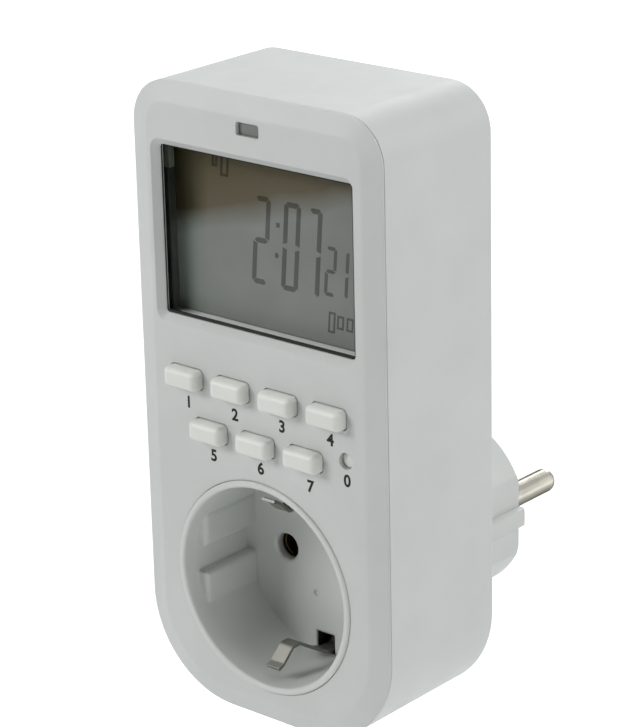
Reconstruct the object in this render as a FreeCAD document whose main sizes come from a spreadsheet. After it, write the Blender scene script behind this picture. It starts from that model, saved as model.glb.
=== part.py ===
import FreeCAD, Part
import math
import os
import Sketcher
from FreeCAD import Placement, Rotation, Vector

# Plug-in electronic timer with a grounded socket in its front and a plug on its back.
# X runs to the right as seen from the front, Y from the front to the wall, Z up.
# The pieces are drawn with Y = 0 on the front face, and the socket's axis at X = 0, Z = 0.
# Each placement then moves them so that the origin is the centre of the plug's end face.

SIZES = {
    # Housing
    "body_width": 58.9,
    "top_rise": 94.15,  # socket axis to top
    "bottom_drop": 27.3,  # socket axis to bottom
    "body_depth": 32.2,
    "top_radius": 8.6,
    "bottom_radius": 19.5,
    "bevel_inset": 4.05,
    "bevel_depth": 1.1,
    "bevel_blend": 2.5,
    "rear_blend": 0.8,
    "cover_rim": 1.5,  # front face to parting line
    "seam": 0.15,
    "wall": 2.0,
    "cover_wall": 2.0,
    "back_wall": 2.0,
    "lip_fit": 0.1,
    "lip_wall": 1.2,
    "lip_height": 2.5,
    # Display window
    "window_left_margin": 6.25,
    "window_right_margin": 6.95,
    "window_drop": 28.45,  # top to its middle
    "window_height": 32.4,
    "window_radius": 0.8,
    "window_bevel": 1.3,
    "lens_fit": 0.1,
    "lens_recess": 0.1,
    "lens_margin": 1.4,
    "lens_flange": 1.0,
    "stack_gap": 0.05,
    "display_gap": 1.9,
    "display_margin": 1.4,
    "display_thickness": 2.1,
    "frame_wall": 1.2,
    "strip_height": 1.85,
    "strip_width": 2.2,
    "tab_height": 5.0,
    "tab_depth": 1.2,
    "tab_thickness": 0.5,
    # Indicator
    "indicator_x": -0.5,
    "indicator_drop": 6.05,
    "indicator_width": 5.4,
    "indicator_height": 2.5,
    "indicator_corner": 0.5,
    "indicator_recess": 0.7,
    "indicator_fit": 0.08,
    "indicator_flange": 0.9,
    "light_stalk_inset": 1.35,
    "led_height": 1.6,
    "led_gap": 0.2,
    # Keys
    "keys_x": -0.15,
    "key_side_inset": 12.14,
    "upper_keys_z": 38.25,
    "lower_keys_z": 28.7,
    "key_width": 7.8,
    "key_height": 3.8,
    "key_corner": 0.8,
    "key_round": 1.1,
    "key_rise": 2.6,
    "key_fit": 0.2,
    "key_slack": 0.15,
    "key_flange": 0.8,
    "key_flange_thickness": 1.0,
    "key_stem_width": 3.2,
    "key_stem_height": 2.4,
    "reset_inset": 8.6,
    "reset_z": 30.4,
    "reset_radius": 1.45,
    "reset_fit": 0.15,
    "reset_recess": 0.9,
    # Key switches
    "switch_size": 4.5,
    "switch_height": 3.5,
    "plunger_radius": 1.2,
    "plunger_rise": 0.8,
    "plunger_depth": 1.5,
    "plunger_fit": 0.05,
    "plunger_room": 0.7,
    # Socket
    "well_radius": 19.75,
    "well_depth": 17.5,
    "well_wall": 1.35,
    "well_floor": 2.0,
    "ring_rise": 0.4,
    "ring_blend": 0.35,
    "insert_fit": 0.1,
    "insert_flange": 1.5,
    "insert_flange_thickness": 1.2,
    "pin_spacing": 19.0,
    "pin_hole_radius": 2.65,
    "pin_hole_bevel": 0.4,
    "cheek_face": 17.3,
    "cheek_start": 3.3,
    "cheek_low": 2.7,
    "cheek_high": 9.5,
    "cheek_round": 0.9,
    "earth_slot_width": 4.5,
    "earth_slot_low": 15.5,
    "earth_slot_high": 19.6,
    "ejector_x": -2.1,
    "ejector_z": -7.7,
    "ejector_radius": 0.6,
    "ejector_depth": 0.2,
    # Plug
    "boss_length": 25.6,
    "boss_radius": 18.05,
    "boss_flat": 16.1,
    "boss_key_half": 1.7,
    "boss_wall": 2.2,
    "boss_end": 3.0,
    "boss_bevel": 0.6,
    "boss_cavity_radius": 9.0,
    "pin_radius": 2.4,
    "pin_length": 19.0,
    "pin_tip": 2.0,
    "shank_radius": 2.6,
    "shank_fit": 0.05,
    "column_radius": 4.6,
    "column_length": 14.8,
    "pin_head_radius": 3.5,
    "pin_head": 1.4,
    "pin_stub_radius": 1.5,
    "pin_stub": 1.5,
    "groove_width": 6.0,
    "groove_floor": 15.4,
    # Earth strips and straps
    "earth_width": 3.2,
    "strip_thickness": 0.6,
    "strip_gap": 0.05,
    "earth_lane_height": 15.8,
    "earth_end_gap": 2.8,
    "earth_foot_height": 19.0,
    "earth_step_near": 1.0,
    "earth_step_far": 4.0,
    "bend_radius": 1.2,
    "knee_radius": 2.5,
    "apex_radius": 1.0,
    "clip_shoulder_y": 15.0,
    "clip_shoulder_z": 18.0,
    "clip_knee_y": 10.6,
    "clip_knee_z": 15.4,
    "clip_apex_back": 8.2,
    "clip_apex_front": 6.2,
    "clip_apex_z": 13.9,
    "clip_lip_y": 3.4,
    "clip_lip_z": 16.5,
    "clip_tip_y": 2.0,
    "clip_tip_z": 17.1,
    "link_width": 3.0,
    "strap_width": 2.8,
    "strap_half": 2.5,
    "strap_x": 13.6,
    "tail_x": 9.8,
    "tail_width": 3.2,
    "tail_overlap": 5.0,
    "contact_radius": 2.45,
    "contact_wall": 0.6,
    "contact_slit": 1.2,
    "contact_gap": 0.7,
    # Contact carrier
    "carrier_half_width": 19.0,
    "carrier_half_height": 8.5,
    "carrier_gap": 0.1,
    "carrier_space": 3.2,
    "chamber_half": 3.9,
    "carrier_leg_x": 17.3,
    "carrier_leg_z": 6.5,
    "carrier_leg_radius": 1.3,
    # Boards
    "board_thickness": 1.6,
    "board_clear": 0.6,
    "logic_board_rise": 1.1,  # above the socket insert's flange
    "logic_board_drop": 9.7,  # below the housing's top
    "logic_tab_half": 5.0,
    "logic_tab_drop": 3.1,
    "power_board_rise": 3.4,
    "power_board_drop": 10.9,
    "power_post": 2.2,
    "power_post_radius": 2.2,
    "power_screw_inset": 6.6,  # housing's side to screw
    "power_screw_edge": 3.4,  # board's end to screw
    "logic_screw_inset": 5.6,
    "logic_screw_edge": 2.0,
    "logic_screw_drop": 4.7,  # below the window
    "logic_post_radius": 1.7,
    "board_screw_radius": 0.9,
    "board_screw_fit": 0.05,
    "board_screw_clear": 0.25,
    "board_screw_depth": 3.2,
    "post_screw_depth": 2.7,
    "board_head_radius": 1.6,
    "board_head": 1.2,
    # Housing screws
    "top_screw_inset": 6.2,
    "low_screw_inset": 5.2,
    "screw_radius": 1.4,
    "screw_fit": 0.05,
    "screw_clear": 0.2,
    "screw_length": 12.0,
    "screw_head_radius": 2.7,
    "screw_head": 2.0,
    "screw_slot": 0.7,
    "screw_seat": 7.7,
    "screw_bore_radius": 3.1,
    "cover_boss_radius": 3.0,
    "tower_radius": 4.0,
    "tower_front": 20.0,
    "tower_gap": 0.2,
    # Relay
    "relay_inset": 16.95,
    "relay_drop": 26.65,
    "relay_width": 15.5,
    "relay_length": 19.0,
    "relay_clear": 0.9,
    "relay_shell": 0.8,
    "relay_base": 1.5,
    "relay_room": 1.0,
    "coil_radius": 4.6,
    "coil_shift": 2.6,
    "coil_rim": 1.1,
    "core_radius": 2.4,
    "core_rise": 0.7,
    "yoke_width": 9.0,
    "yoke_thickness": 1.4,
    "yoke_gap": 0.3,
    "armature_thickness": 0.9,
    "armature_gap": 0.55,
    "hinge_gap": 0.15,
    # Parts on the boards
    "part_gap": 0.1,
    "film_inset": 15.2,
    "film_rise": 12.2,
    "film_width": 18.0,
    "film_thickness": 8.0,
    "film_height": 12.0,
    "bulk_inset": 12.5,
    "bulk_rise": 25.5,
    "bulk_radius": 4.0,
    "bulk_height": 11.5,
    "varistor_inset": 13.0,
    "varistor_drop": 31.8,
    "varistor_radius": 4.5,
    "varistor_thickness": 3.6,
    "fuse_inset": 13.5,
    "fuse_drop": 24.3,
    "fuse_radius": 1.8,
    "fuse_length": 10.0,
    "diode_gap": 0.4,
    "diode_rise": 31.0,
    "diode_pitch": 4.0,
    "diode_radius": 1.3,
    "diode_length": 5.2,
    "resistor_inset": 13.5,
    "resistor_drop": 13.7,
    "resistor_pitch": 3.4,
    "resistor_radius": 1.2,
    "resistor_length": 6.5,
    "driver_inset": 26.0,
    "driver_drop": 17.8,
    "driver_radius": 2.3,
    "driver_height": 4.6,
    "blob_inset": 22.0,
    "blob_drop": 32.3,
    "blob_radius": 7.0,
    "blob_height": 1.8,
    "crystal_inset": 10.0,
    "crystal_drop": 20.3,
    "crystal_radius": 1.0,
    "crystal_length": 6.0,
    "cell_inset": 17.5,
    "cell_rise": 20.5,
    "cell_radius": 7.7,
    "cell_height": 5.4,
    "cell_tab_width": 3.0,
    "cell_tab_reach": 2.2,
    "header_inset": 18.0,
    "header_rise": 4.6,
    "header_width": 15.2,
    "header_thickness": 2.5,
}

SHEET = "Dims"
RIGHT_ANGLE = 90
DIAGONAL = math.sqrt(0.5)
OVER = 1  # how far a cutting solid passes the face it cuts, in mm
NEAR = 1e-4  # coordinates this close, in mm, are taken as equal

doc = FreeCAD.newDocument("ElectronicTimer")


class Size:
    """A length that knows its number and the formula over the sheet's cells that gives it."""

    def __init__(self, formula, number):
        self.formula = formula
        self.number = number

    def __add__(self, other):
        return Size(f"({self.formula} + {formula_of(other)})", self.number + number_of(other))

    def __radd__(self, other):
        return Size(f"({formula_of(other)} + {self.formula})", number_of(other) + self.number)

    def __sub__(self, other):
        return Size(f"({self.formula} - {formula_of(other)})", self.number - number_of(other))

    def __rsub__(self, other):
        return Size(f"({formula_of(other)} - {self.formula})", number_of(other) - self.number)

    def __mul__(self, other):
        return Size(f"({self.formula} * {formula_of(other)})", self.number * number_of(other))

    def __rmul__(self, other):
        return Size(f"({formula_of(other)} * {self.formula})", number_of(other) * self.number)

    def __truediv__(self, other):
        return Size(f"({self.formula} / {formula_of(other)})", self.number / number_of(other))

    def __neg__(self):
        return Size(f"(0 - {self.formula})", -self.number)


def formula_of(value):
    return value.formula if isinstance(value, Size) else f"{value:.9g}"


def number_of(value):
    return value.number if isinstance(value, Size) else value


class Cells:
    """The sheet's cells as Size attributes."""


def make_sheet():
    sheet = doc.addObject("Spreadsheet::Sheet", SHEET)
    for row, (alias, value) in enumerate(SIZES.items(), start=1):
        sheet.set(f"A{row}", alias)
        sheet.set(f"B{row}", str(value))
        sheet.setAlias(f"B{row}", alias)
    doc.recompute()
    cells = Cells()
    for alias in SIZES:
        setattr(cells, alias, Size(f"{SHEET}.{alias}", float(sheet.get(alias))))
    return cells


dim = make_sheet()


# Depths from the front face that several pieces share
half_width = dim.body_width / 2
parting = dim.cover_rim + dim.seam
cavity_back = dim.body_depth - dim.back_wall
plug_face = dim.body_depth + dim.boss_length
lens_front = dim.window_bevel + dim.lens_recess
flange_front = dim.cover_wall + dim.stack_gap
lens_back = flange_front + dim.lens_flange
display_front = lens_back + dim.display_gap
display_back = display_front + dim.display_thickness
logic_front = display_back + dim.strip_height
logic_back = logic_front + dim.board_thickness
switch_front = logic_front - dim.switch_height
key_back = switch_front - dim.plunger_rise
key_flange_front = dim.cover_wall + dim.key_slack
key_flange_back = key_flange_front + dim.key_flange_thickness
power_back = cavity_back - dim.power_post
power_front = power_back - dim.board_thickness
floor_back = dim.well_depth + dim.well_floor
screw_seat = dim.body_depth - dim.screw_seat
column_front = plug_face - dim.boss_end - dim.column_length
power_screw_end = power_back + dim.post_screw_depth
strap_front = power_back + dim.strip_gap
strap_back = strap_front + dim.strip_thickness
pin_x = dim.pin_spacing / 2
spigot_wall = dim.boss_wall / 2
lip_inset = dim.wall + dim.lip_fit

# Heights from the socket's axis that several pieces share
insert_radius = dim.well_radius + dim.well_wall
flange_radius = insert_radius + dim.insert_flange
window_z = dim.top_rise - dim.window_drop
indicator_z = dim.top_rise - dim.indicator_drop
logic_bottom = flange_radius + dim.logic_board_rise
logic_top = dim.top_rise - dim.logic_board_drop
logic_tab_top = dim.top_rise - dim.logic_tab_drop
power_bottom = flange_radius + dim.power_board_rise
power_top = dim.top_rise - dim.power_board_drop

# Places of the four housing screws
top_screw_x = half_width - dim.top_screw_inset
top_screw_z = dim.top_rise - dim.top_screw_inset
low_reach = (dim.bottom_radius - dim.low_screw_inset) * DIAGONAL
low_screw_x = half_width - dim.bottom_radius + low_reach
low_screw_z = dim.bottom_radius - dim.bottom_drop - low_reach
HOUSING_SCREWS = [
    (side * x, z)
    for x, z in ((top_screw_x, top_screw_z), (low_screw_x, low_screw_z))
    for side in (-1, 1)
]
power_screw_x = half_width - dim.power_screw_inset
POWER_SCREWS = [
    (side * power_screw_x, z)
    for z in (power_bottom + dim.power_screw_edge, power_top - dim.power_screw_edge)
    for side in (-1, 1)
]
logic_screw_x = half_width - dim.logic_screw_inset
logic_screw_high = window_z - dim.window_height / 2 - dim.logic_screw_drop
LOGIC_SCREWS = [
    (side * logic_screw_x, z)
    for z in (logic_bottom + dim.logic_screw_edge, logic_screw_high)
    for side in (-1, 1)
]

# Places of the keys, counted from the left, upper row first
UPPER_KEYS = 4
LOWER_KEYS = 3
key_pitch = (dim.body_width - 2 * dim.key_side_inset) / (UPPER_KEYS - 1)
KEY_PLACES = [
    (dim.keys_x + key_pitch * (column - (count - 1) / 2), z)
    for count, z in ((UPPER_KEYS, dim.upper_keys_z), (LOWER_KEYS, dim.lower_keys_z))
    for column in range(count)
]
RESET_PLACE = (half_width - dim.reset_inset, dim.reset_z)


# Places of the parts on the boards, from the housing's sides, its top and the power board's bottom
relay_x = half_width - dim.relay_inset
film_x = dim.film_inset - half_width
bulk_x = dim.bulk_inset - half_width
varistor_x = dim.varistor_inset - half_width
fuse_x = dim.fuse_inset - half_width
diode_x = film_x + dim.film_width / 2 + dim.diode_gap + dim.diode_length / 2
resistor_x = dim.resistor_inset - half_width
driver_x = dim.driver_inset - half_width
blob_x = dim.blob_inset - half_width
crystal_x = dim.crystal_inset - half_width
cell_x = half_width - dim.cell_inset
header_x = half_width - dim.header_inset
relay_z = dim.top_rise - dim.relay_drop
film_z = power_bottom + dim.film_rise
bulk_z = power_bottom + dim.bulk_rise
varistor_z = dim.top_rise - dim.varistor_drop
fuse_z = dim.top_rise - dim.fuse_drop
diode_z = power_bottom + dim.diode_rise
resistor_z = dim.top_rise - dim.resistor_drop
driver_z = dim.top_rise - dim.driver_drop
blob_z = dim.top_rise - dim.blob_drop
crystal_z = dim.top_rise - dim.crystal_drop
cell_z = power_bottom + dim.cell_rise
header_z = power_bottom + dim.header_rise


# Helpers that bind primitives and features to the sheet
nodes = []
places = {}


def bind(obj, prop, value):
    obj.setExpression(prop, formula_of(value))


def put(obj, x, y, z):
    places[obj.Name] = (x, y, z)
    for axis, value in (("x", x), ("y", y), ("z", z)):
        bind(obj, f"Placement.Base.{axis}", value)


def node(obj, label, x=0, z=0):
    """Names a finished piece and moves it from the drawing's zero to the part's frame."""
    obj.Label = label
    own_x, own_y, own_z = places.get(obj.Name, (0, 0, 0))
    put(obj, own_x + x, own_y - plug_face, own_z + z)
    nodes.append(obj)


def block(name, x, y, z):
    box = doc.addObject("Part::Box", name)
    for prop, (low, high) in (("Length", x), ("Width", y), ("Height", z)):
        bind(box, prop, high - low)
    put(box, x[0], y[0], z[0])
    return box


AXIS_TURNS = {
    "x": Rotation(Vector(0, 1, 0), RIGHT_ANGLE),
    "y": Rotation(Vector(1, 0, 0), -RIGHT_ANGLE),
    "z": Rotation(),
}


def rod(name, radius, span, at, axis="y"):
    """A cylinder along one axis over span; at gives the two other coordinates in X, Y, Z order."""
    cylinder = doc.addObject("Part::Cylinder", name)
    cylinder.Placement = Placement(Vector(), AXIS_TURNS[axis])
    bind(cylinder, "Radius", radius)
    bind(cylinder, "Height", span[1] - span[0])
    place = list(at)
    place.insert("xyz".index(axis), span[0])
    put(cylinder, *place)
    return cylinder


def taper(name, radii, span, at):
    """A cone along Y."""
    cone = doc.addObject("Part::Cone", name)
    cone.Placement = Placement(Vector(), AXIS_TURNS["y"])
    bind(cone, "Radius1", radii[0])
    bind(cone, "Radius2", radii[1])
    bind(cone, "Height", span[1] - span[0])
    put(cone, at[0], span[0], at[1])
    return cone


def fuse(name, *parts):
    joined = doc.addObject("Part::MultiFuse", name)
    joined.Shapes = list(parts)
    return joined


def cut(name, base, *tools):
    result = doc.addObject("Part::Cut", name)
    result.Base = base
    result.Tool = tools[0] if len(tools) == 1 else fuse(name + "Tools", *tools)
    return result


def group(name, parts):
    """Separate solids kept together as one piece of the list."""
    compound = doc.addObject("Part::Compound", name)
    compound.Links = list(parts)
    return compound


def rounded(name, base, radius, wanted):
    """Rounds the edges of base that wanted picks."""
    doc.recompute()
    fillet = doc.addObject("Part::Fillet", name)
    fillet.Base = base
    size = number_of(radius)
    edges = enumerate(base.Shape.Edges, start=1)
    fillet.Edges = [(index, size, size) for index, edge in edges if wanted(edge)]
    return fillet


def lies_at_depth(depth):
    """Picks the edges that lie wholly at one depth."""
    y = number_of(depth)

    def wanted(edge):
        box = edge.BoundBox
        return abs(box.YMin - y) < NEAR and abs(box.YMax - y) < NEAR

    return wanted


def lies_on_rectangle(depth, x, z):
    """Picks the edges at one depth that lie on or inside a rectangle."""
    left, right, low, high = (number_of(v) for v in (*x, *z))
    at_depth = lies_at_depth(depth)

    def wanted(edge):
        box = edge.BoundBox
        inside = left - NEAR < box.XMin and box.XMax < right + NEAR
        return inside and low - NEAR < box.ZMin and box.ZMax < high + NEAR and at_depth(edge)

    return wanted


def runs_along_y(edge):
    """Picks the straight edges along Y."""
    box = edge.BoundBox
    return box.XLength < NEAR and box.ZLength < NEAR


# Sketches on the front plane, pads and pockets along Y


def new_sketch(body, name, y):
    sketch = body.newObject("Sketcher::SketchObject", name)
    plane = next(f for f in body.Origin.OriginFeatures if f.Role == "XZ_Plane")
    sketch.AttachmentSupport = [(plane, "")]
    sketch.MapMode = "FlatFace"
    bind(sketch, "AttachmentOffset.Base.z", 0 - y)
    return sketch


def constrain(sketch, kind, *refs, value):
    index = sketch.addConstraint(Sketcher.Constraint(kind, *refs, number_of(value)))
    if isinstance(value, Size):
        sketch.setExpression(f"Constraints[{index}]", value.formula)


def draw_round_rectangle(sketch, x, z, low_radius, high_radius):
    """A rectangle with its own corner radius at the bottom and at the top."""
    left, right, low, high = (number_of(v) for v in (*x, *z))
    r0, r1 = number_of(low_radius), number_of(high_radius)
    up = Vector(0, 0, 1)
    quarter = math.pi / 2

    def line(x0, z0, x1, z1):
        return Part.LineSegment(Vector(x0, z0, 0), Vector(x1, z1, 0))

    def arc(cx, cz, r, quarters):
        circle = Part.Circle(Vector(cx, cz, 0), up, r)
        return Part.ArcOfCircle(circle, quarters * quarter, (quarters + 1) * quarter)

    first = sketch.GeometryCount
    sketch.addGeometry(
        [
            line(left + r0, low, right - r0, low),
            arc(right - r0, low + r0, r0, 3),
            line(right, low + r0, right, high - r1),
            arc(right - r1, high - r1, r1, 0),
            line(right - r1, high, left + r1, high),
            arc(left + r1, high - r1, r1, 1),
            line(left, high - r1, left, low + r0),
            arc(left + r0, low + r0, r0, 2),
        ],
        False,
    )
    sides = 8
    for i in range(sides):
        after = first + (i + 1) % sides
        sketch.addConstraint(Sketcher.Constraint("Tangent", first + i, 2, after, 1))
    for i, kind in enumerate(("Horizontal", "Vertical", "Horizontal", "Vertical")):
        sketch.addConstraint(Sketcher.Constraint(kind, first + 2 * i))
    for i, radius in ((1, low_radius), (3, high_radius), (5, high_radius), (7, low_radius)):
        constrain(sketch, "Radius", first + i, value=radius)
    constrain(sketch, "DistanceX", -1, 1, first + 6, 1, value=x[0])
    constrain(sketch, "DistanceX", -1, 1, first + 2, 1, value=x[1])
    constrain(sketch, "DistanceY", -1, 1, first, 1, value=z[0])
    constrain(sketch, "DistanceY", -1, 1, first + 4, 1, value=z[1])


def draw_rectangle(sketch, x, z):
    left, right, low, high = (number_of(v) for v in (*x, *z))
    corners = [(left, low), (right, low), (right, high), (left, high)]
    first = sketch.GeometryCount
    sides = len(corners)
    for i in range(sides):
        start = Vector(*corners[i], 0)
        end = Vector(*corners[(i + 1) % sides], 0)
        sketch.addGeometry(Part.LineSegment(start, end), False)
    for i in range(sides):
        after = first + (i + 1) % sides
        sketch.addConstraint(Sketcher.Constraint("Coincident", first + i, 2, after, 1))
        kind = "Vertical" if i % 2 else "Horizontal"
        sketch.addConstraint(Sketcher.Constraint(kind, first + i))
    constrain(sketch, "DistanceX", -1, 1, first, 1, value=x[0])
    constrain(sketch, "DistanceX", -1, 1, first, 2, value=x[1])
    constrain(sketch, "DistanceY", -1, 1, first, 1, value=z[0])
    constrain(sketch, "DistanceY", -1, 1, first + 2, 1, value=z[1])


def draw_circle(sketch, x, z, radius):
    place = Vector(number_of(x), number_of(z), 0)
    circle = Part.Circle(place, Vector(0, 0, 1), number_of(radius))
    index = sketch.addGeometry(circle, False)
    constrain(sketch, "Radius", index, value=radius)
    constrain(sketch, "DistanceX", -1, 1, index, 3, value=x)
    constrain(sketch, "DistanceY", -1, 1, index, 3, value=z)


def draw_outline(sketch, inset):
    """The housing's outline seen from the front, drawn in by inset."""
    draw_round_rectangle(
        sketch,
        (inset - half_width, half_width - inset),
        (inset - dim.bottom_drop, dim.top_rise - inset),
        dim.bottom_radius - inset,
        dim.top_radius - inset,
    )


def pad(body, name, y, draw):
    """Adds what draw sketches, from y[0] to y[1]."""
    sketch = new_sketch(body, name + "Sketch", y[0])
    draw(sketch)
    feature = body.newObject("PartDesign::Pad", name)
    feature.Profile = sketch
    feature.Reversed = True
    bind(feature, "Length", y[1] - y[0])
    return feature


def pocket(body, name, y, draw):
    """Cuts what draw sketches, from y[0] to y[1], and checks that it did."""
    doc.recompute()
    before = body.Shape.Volume
    sketch = new_sketch(body, name + "Sketch", y[0])
    draw(sketch)
    feature = body.newObject("PartDesign::Pocket", name)
    feature.Profile = sketch
    bind(feature, "Length", y[1] - y[0])
    doc.recompute()
    if body.Shape.Volume >= before:
        raise RuntimeError(f"{name} cuts nothing")
    return feature


def dress(body, kind, name, base, sizes, wanted):
    """A chamfer or fillet on the edges of base that wanted picks. A second size tilts a chamfer."""
    doc.recompute()
    feature = body.newObject(f"PartDesign::{kind}", name)
    edges = enumerate(base.Shape.Edges, start=1)
    feature.Base = (base, [f"Edge{i}" for i, edge in edges if wanted(edge)])
    if "Size2" in sizes:
        feature.ChamferType = "Two distances"
    for prop, size in sizes.items():
        bind(feature, prop, size)
    doc.recompute()
    return feature


def draw_circles(places, radius):
    def draw(sketch):
        for x, z in places:
            draw_circle(sketch, x, z, radius)

    return draw


# Housing


def key_holes(sketch):
    width = dim.key_width / 2 + dim.key_fit
    height = dim.key_height / 2 + dim.key_fit
    corner = dim.key_corner + dim.key_fit
    for x, z in KEY_PLACES:
        draw_round_rectangle(sketch, (x - width, x + width), (z - height, z + height), corner, corner)


def window_span(margin):
    left = dim.window_left_margin - half_width
    right = half_width - dim.window_right_margin
    return left - margin, right + margin


def window_rise(margin):
    half = dim.window_height / 2 + margin
    return window_z - half, window_z + half


def indicator_span(margin):
    half = dim.indicator_width / 2 + margin
    return dim.indicator_x - half, dim.indicator_x + half


def indicator_rise(margin):
    half = dim.indicator_height / 2 + margin
    return indicator_z - half, indicator_z + half


def make_front_cover():
    body = doc.addObject("PartDesign::Body", "FrontCover")
    behind = dim.cover_rim + dim.lip_height
    plate = pad(body, "CoverPlate", (0, dim.cover_rim), lambda s: draw_outline(s, 0))
    at_front = lies_at_depth(0)
    slope = {"Size": dim.bevel_depth, "Size2": dim.bevel_inset}
    bevel = dress(body, "Chamfer", "CoverBevel", plate, slope, at_front)
    dress(body, "Fillet", "CoverBlend", bevel, {"Radius": dim.bevel_blend}, at_front)
    pad(body, "CoverLip", (dim.cover_rim, behind), lambda s: draw_outline(s, lip_inset))
    inside = lip_inset + dim.lip_wall
    pocket(body, "CoverInside", (dim.cover_wall, behind), lambda s: draw_outline(s, inside))
    posts = draw_circles(LOGIC_SCREWS, dim.logic_post_radius)
    pad(body, "LogicPosts", (dim.cover_wall, logic_front), posts)
    bosses = draw_circles(HOUSING_SCREWS, dim.cover_boss_radius)
    pad(body, "CoverBosses", (dim.cover_wall, dim.tower_front - dim.tower_gap), bosses)

    front = 0 - dim.ring_rise
    corner = dim.window_radius
    opening = pocket(
        body,
        "WindowHole",
        (front, dim.cover_wall),
        lambda s: draw_round_rectangle(s, window_span(0), window_rise(0), corner, corner),
    )
    edges = lies_on_rectangle(0, window_span(0), window_rise(0))
    dress(body, "Chamfer", "WindowBevel", opening, {"Size": dim.window_bevel}, edges)
    pocket(body, "KeyHoles", (front, dim.cover_wall), key_holes)
    reset = draw_circles([RESET_PLACE], dim.reset_radius + dim.reset_fit)
    pocket(body, "ResetHole", (front, dim.cover_wall), reset)
    pocket(
        body,
        "IndicatorHole",
        (front, dim.cover_wall),
        lambda s: draw_round_rectangle(
            s, indicator_span(0), indicator_rise(0), dim.indicator_corner, dim.indicator_corner
        ),
    )
    well = draw_circles([(0, 0)], dim.well_radius + dim.well_wall + dim.insert_fit)
    pocket(body, "WellHole", (front, dim.cover_wall), well)
    pilots = draw_circles(HOUSING_SCREWS, dim.screw_radius + dim.screw_fit)
    pilot_end = screw_seat - dim.screw_length - dim.tower_gap
    pocket(body, "ScrewPilots", (pilot_end, dim.tower_front), pilots)
    pilots = draw_circles(LOGIC_SCREWS, dim.board_screw_radius + dim.board_screw_fit)
    pilot_end = logic_front - dim.board_screw_depth - dim.tower_gap
    pocket(body, "BoardPilots", (pilot_end, logic_front), pilots)
    node(body, "front_cover")


def boss_sides(sketch):
    """What the plug's round boss loses: its flats either side of the key, and the earth grooves."""
    reach = dim.boss_radius + OVER
    for side in (-1, 1):
        x = (dim.boss_flat, reach) if side > 0 else (0 - reach, 0 - dim.boss_flat)
        draw_rectangle(sketch, x, (dim.boss_key_half, reach))
        draw_rectangle(sketch, x, (0 - reach, 0 - dim.boss_key_half))
        z = (dim.groove_floor, reach) if side > 0 else (0 - reach, 0 - dim.groove_floor)
        draw_rectangle(sketch, (0 - dim.groove_width / 2, dim.groove_width / 2), z)


def boss_inside(sketch, inset):
    """The outline of the boss's wall, drawn in by inset from its flats and groove floors."""
    x = dim.boss_flat - inset
    z = dim.groove_floor - inset
    corner = dim.boss_cavity_radius + dim.boss_wall - inset
    draw_round_rectangle(sketch, (0 - x, x), (0 - z, z), corner, corner)


def earth_wall_slots(sketch):
    half = dim.earth_width / 2 + dim.lip_fit
    low = dim.earth_lane_height - dim.strip_thickness
    high = dim.earth_lane_height + dim.strip_thickness
    draw_rectangle(sketch, (0 - half, half), (low, high))
    draw_rectangle(sketch, (0 - half, half), (0 - high, 0 - low))


def make_rear_housing():
    body = doc.addObject("PartDesign::Body", "RearHousing")
    shell = pad(body, "Shell", (parting, dim.body_depth), lambda s: draw_outline(s, 0))
    at_back = lies_at_depth(dim.body_depth)
    dress(body, "Fillet", "RearBlend", shell, {"Radius": dim.rear_blend}, at_back)
    pocket(body, "ShellInside", (parting, cavity_back), lambda s: draw_outline(s, dim.wall))
    seat = (cavity_back, dim.body_depth)
    pocket(body, "BossSeat", seat, lambda s: boss_inside(s, dim.boss_wall - spigot_wall))
    towers = draw_circles(HOUSING_SCREWS, dim.tower_radius)
    pad(body, "ScrewTowers", (dim.tower_front, cavity_back), towers)
    posts = draw_circles(POWER_SCREWS, dim.power_post_radius)
    pad(body, "BoardPosts", (power_back, cavity_back), posts)
    pocket(body, "EarthSlots", (cavity_back, dim.body_depth), earth_wall_slots)
    clearance = draw_circles(HOUSING_SCREWS, dim.screw_radius + dim.screw_clear)
    pocket(body, "ScrewHoles", (dim.tower_front, screw_seat), clearance)
    bores = draw_circles(HOUSING_SCREWS, dim.screw_bore_radius)
    pocket(body, "ScrewBores", (screw_seat, dim.body_depth), bores)
    pilots = draw_circles(POWER_SCREWS, dim.board_screw_radius + dim.board_screw_fit)
    pocket(body, "PostPilots", (power_back, power_screw_end + dim.tower_gap), pilots)
    node(body, "rear_housing")


def make_plug_boss():
    """The plug's round boss: its spigot sits in the housing's back, its columns hold the pins."""
    body = doc.addObject("PartDesign::Body", "Boss")
    boss = pad(
        body,
        "BossRound",
        (dim.body_depth, plug_face),
        draw_circles([(0, 0)], dim.boss_radius),
    )
    dress(body, "Chamfer", "BossBevel", boss, {"Size": dim.boss_bevel}, lies_at_depth(plug_face))
    pocket(body, "BossSides", (dim.body_depth, plug_face), boss_sides)
    fitted = dim.boss_wall - spigot_wall + dim.lip_fit
    spigot = (cavity_back, dim.body_depth)
    pad(body, "BossSpigot", spigot, lambda s: boss_inside(s, fitted))
    cavity = (cavity_back, plug_face - dim.boss_end)
    pocket(body, "BossInside", cavity, lambda s: boss_inside(s, dim.boss_wall))
    pins = [(0 - pin_x, 0), (pin_x, 0)]
    columns = draw_circles(pins, dim.column_radius)
    pad(body, "PinColumns", (column_front, plug_face - dim.boss_end), columns)
    bores = draw_circles(pins, dim.shank_radius + dim.shank_fit)
    pocket(body, "PinBores", (column_front, plug_face), bores)
    node(body, "plug_boss")


# Display


def make_lens():
    step = block(
        "LensStep",
        window_span(0 - dim.lens_fit),
        (lens_front, flange_front),
        window_rise(0 - dim.lens_fit),
    )
    flange = block(
        "LensFlange",
        window_span(dim.lens_margin),
        (flange_front, lens_back),
        window_rise(dim.lens_margin),
    )
    step = rounded("LensCorners", step, dim.window_radius, runs_along_y)
    node(fuse("Lens", step, flange), "lcd_window")


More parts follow.
